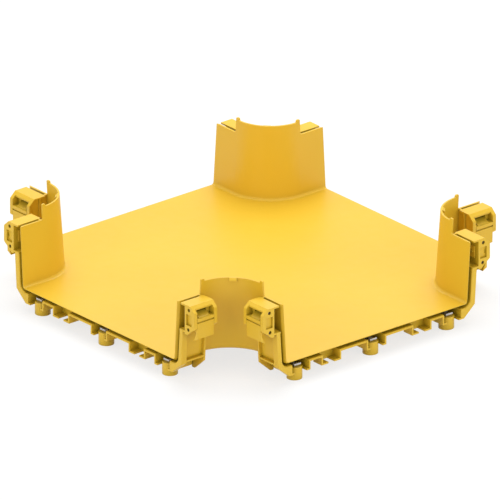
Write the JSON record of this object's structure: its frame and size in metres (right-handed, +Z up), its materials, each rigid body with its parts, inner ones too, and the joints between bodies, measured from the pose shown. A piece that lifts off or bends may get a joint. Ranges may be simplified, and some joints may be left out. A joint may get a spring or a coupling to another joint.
{
  "type": "fibre raceway fitting",
  "caption": "Yellow moulded cross fitting for fibre raceway: curved corner walls, a slotted coupler sleeve at each opening, steel bite clips and hinged release levers.",
  "frame": {"origin": "under the centre of the cross, in the plane of the bosses' undersides", "axes": "+Z up, one arm along each of +X, +Y, -X and -Y"},
  "size_m": [0.512, 0.512, 0.136],
  "materials": {
    "moulded_plastic": "satin moulded yellow",
    "lever_plastic": "satin moulded yellow",
    "spring_steel": "plain rolled strip",
    "fastener_steel": "plain turned steel"
  },
  "bodies": {
    "fitting": {"clip_screws_east": "fastener_steel", "clip_screws_north": "fastener_steel", "clip_screws_south": "fastener_steel", "clip_screws_west": "fastener_steel", "coupler_east": "moulded_plastic", "coupler_north": "moulded_plastic", "coupler_south": "moulded_plastic", "coupler_west": "moulded_plastic", "floor_clip_east_left": "spring_steel", "floor_clip_east_middle": "spring_steel", "floor_clip_east_right": "spring_steel", "floor_clip_north_left": "spring_steel", "floor_clip_north_middle": "spring_steel", "floor_clip_north_right": "spring_steel", "floor_clip_south_left": "spring_steel", "floor_clip_south_middle": "spring_steel", "floor_clip_south_right": "spring_steel", "floor_clip_west_left": "spring_steel", "floor_clip_west_middle": "spring_steel", "floor_clip_west_right": "spring_steel", "pivot_pin_east_left": "fastener_steel", "pivot_pin_east_right": "fastener_steel", "pivot_pin_north_left": "fastener_steel", "pivot_pin_north_right": "fastener_steel", "pivot_pin_south_left": "fastener_steel", "pivot_pin_south_right": "fastener_steel", "pivot_pin_west_left": "fastener_steel", "pivot_pin_west_right": "fastener_steel", "stop_pin_east_left": "fastener_steel", "stop_pin_east_right": "fastener_steel", "stop_pin_north_left": "fastener_steel", "stop_pin_north_right": "fastener_steel", "stop_pin_south_left": "fastener_steel", "stop_pin_south_right": "fastener_steel", "stop_pin_west_left": "fastener_steel", "stop_pin_west_right": "fastener_steel", "tray": "moulded_plastic", "wall_clip_east_left": "spring_steel", "wall_clip_east_right": "spring_steel", "wall_clip_north_left": "spring_steel", "wall_clip_north_right": "spring_steel", "wall_clip_south_left": "spring_steel", "wall_clip_south_right": "spring_steel", "wall_clip_west_left": "spring_steel", "wall_clip_west_right": "spring_steel"},
    "lever_east_right": {"latch_lever_east_right": "lever_plastic"},
    "lever_east_left": {"latch_lever_east_left": "lever_plastic"},
    "lever_north_right": {"latch_lever_north_right": "lever_plastic"},
    "lever_north_left": {"latch_lever_north_left": "lever_plastic"},
    "lever_west_right": {"latch_lever_west_right": "lever_plastic"},
    "lever_west_left": {"latch_lever_west_left": "lever_plastic"},
    "lever_south_right": {"latch_lever_south_right": "lever_plastic"},
    "lever_south_left": {"latch_lever_south_left": "lever_plastic"}
  },
  "joints": [
    {"name": "lever_east_right_swing", "type": "hinge", "parent": "fitting", "child": "lever_east_right", "pos_m": [0.235, 0.181, 0.1089], "axis": [1, 0, 0], "range_deg": [0, 20]},
    {"name": "lever_east_left_swing", "type": "hinge", "parent": "fitting", "child": "lever_east_left", "pos_m": [0.235, -0.181, 0.1089], "axis": [-1, 0, 0], "range_deg": [0, 20]},
    {"name": "lever_north_right_swing", "type": "hinge", "parent": "fitting", "child": "lever_north_right", "pos_m": [-0.181, 0.235, 0.1089], "axis": [0, 1, 0], "range_deg": [0, 20]},
    {"name": "lever_north_left_swing", "type": "hinge", "parent": "fitting", "child": "lever_north_left", "pos_m": [0.181, 0.235, 0.1089], "axis": [0, -1, 0], "range_deg": [0, 20]},
    {"name": "lever_west_right_swing", "type": "hinge", "parent": "fitting", "child": "lever_west_right", "pos_m": [-0.235, -0.181, 0.1089], "axis": [-1, 0, 0], "range_deg": [0, 20]},
    {"name": "lever_west_left_swing", "type": "hinge", "parent": "fitting", "child": "lever_west_left", "pos_m": [-0.235, 0.181, 0.1089], "axis": [1, 0, 0], "range_deg": [0, 20]},
    {"name": "lever_south_right_swing", "type": "hinge", "parent": "fitting", "child": "lever_south_right", "pos_m": [0.181, -0.235, 0.1089], "axis": [0, -1, 0], "range_deg": [0, 20]},
    {"name": "lever_south_left_swing", "type": "hinge", "parent": "fitting", "child": "lever_south_left", "pos_m": [-0.181, -0.235, 0.1089], "axis": [0, 1, 0], "range_deg": [0, 20]}
  ]
}
